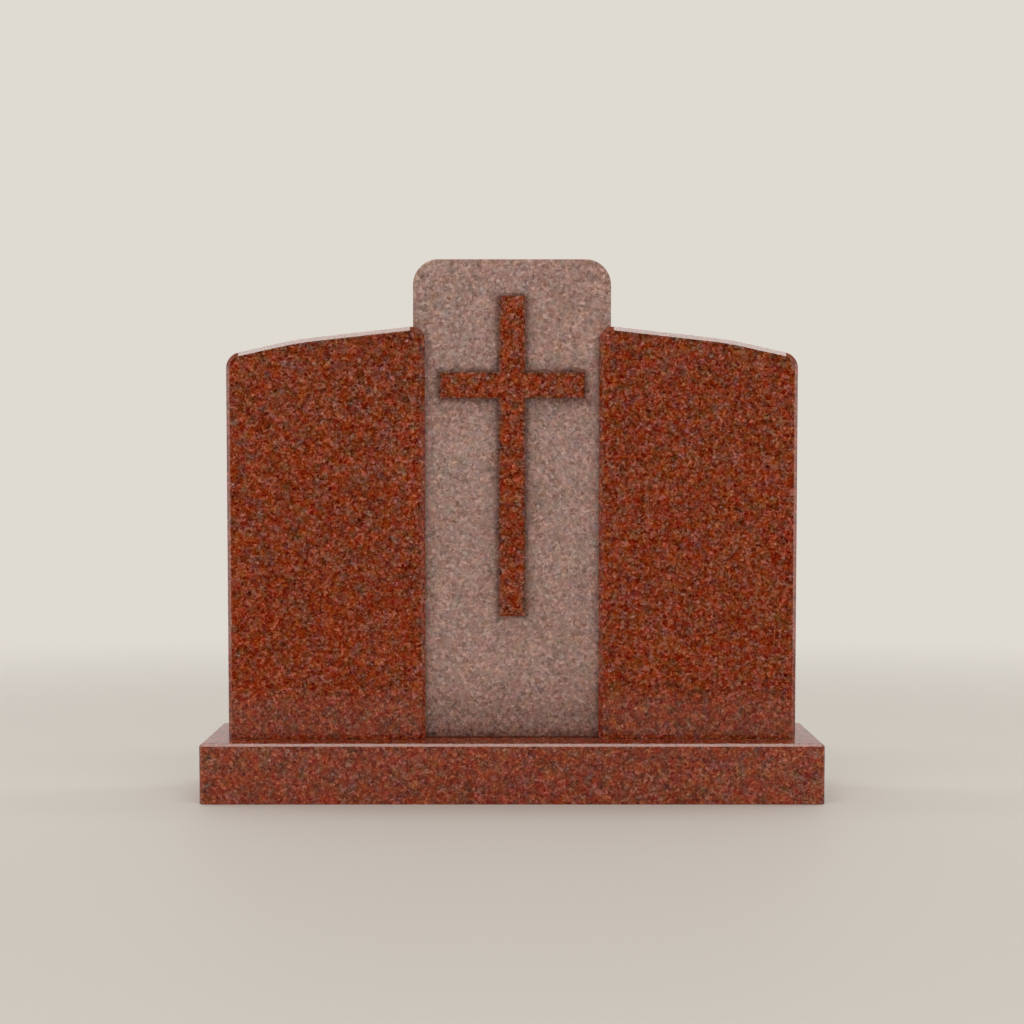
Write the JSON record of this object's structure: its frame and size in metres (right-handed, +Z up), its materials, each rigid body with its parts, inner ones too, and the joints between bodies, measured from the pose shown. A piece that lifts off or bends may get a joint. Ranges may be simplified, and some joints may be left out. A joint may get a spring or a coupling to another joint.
{
  "type": "cross headstone",
  "caption": "Upright granite headstone: polished red side wings lap over a taller pale slab that bears a Latin cross, all on a low plinth.",
  "frame": {"origin": "middle of the base's underside, on the ground", "axes": "+X to the right of someone who faces the cross, +Y from front to back, +Z up"},
  "size_m": [1.03, 0.18, 0.9003],
  "materials": {
    "polished_granite": "polished red granite",
    "unpolished_granite": "unpolished pale granite"
  },
  "bodies": {
    "root": {"base": "polished_granite", "left_wing": "polished_granite", "right_wing": "polished_granite", "centre_slab": "unpolished_granite", "cross": "polished_granite"}
  },
  "joints": []
}
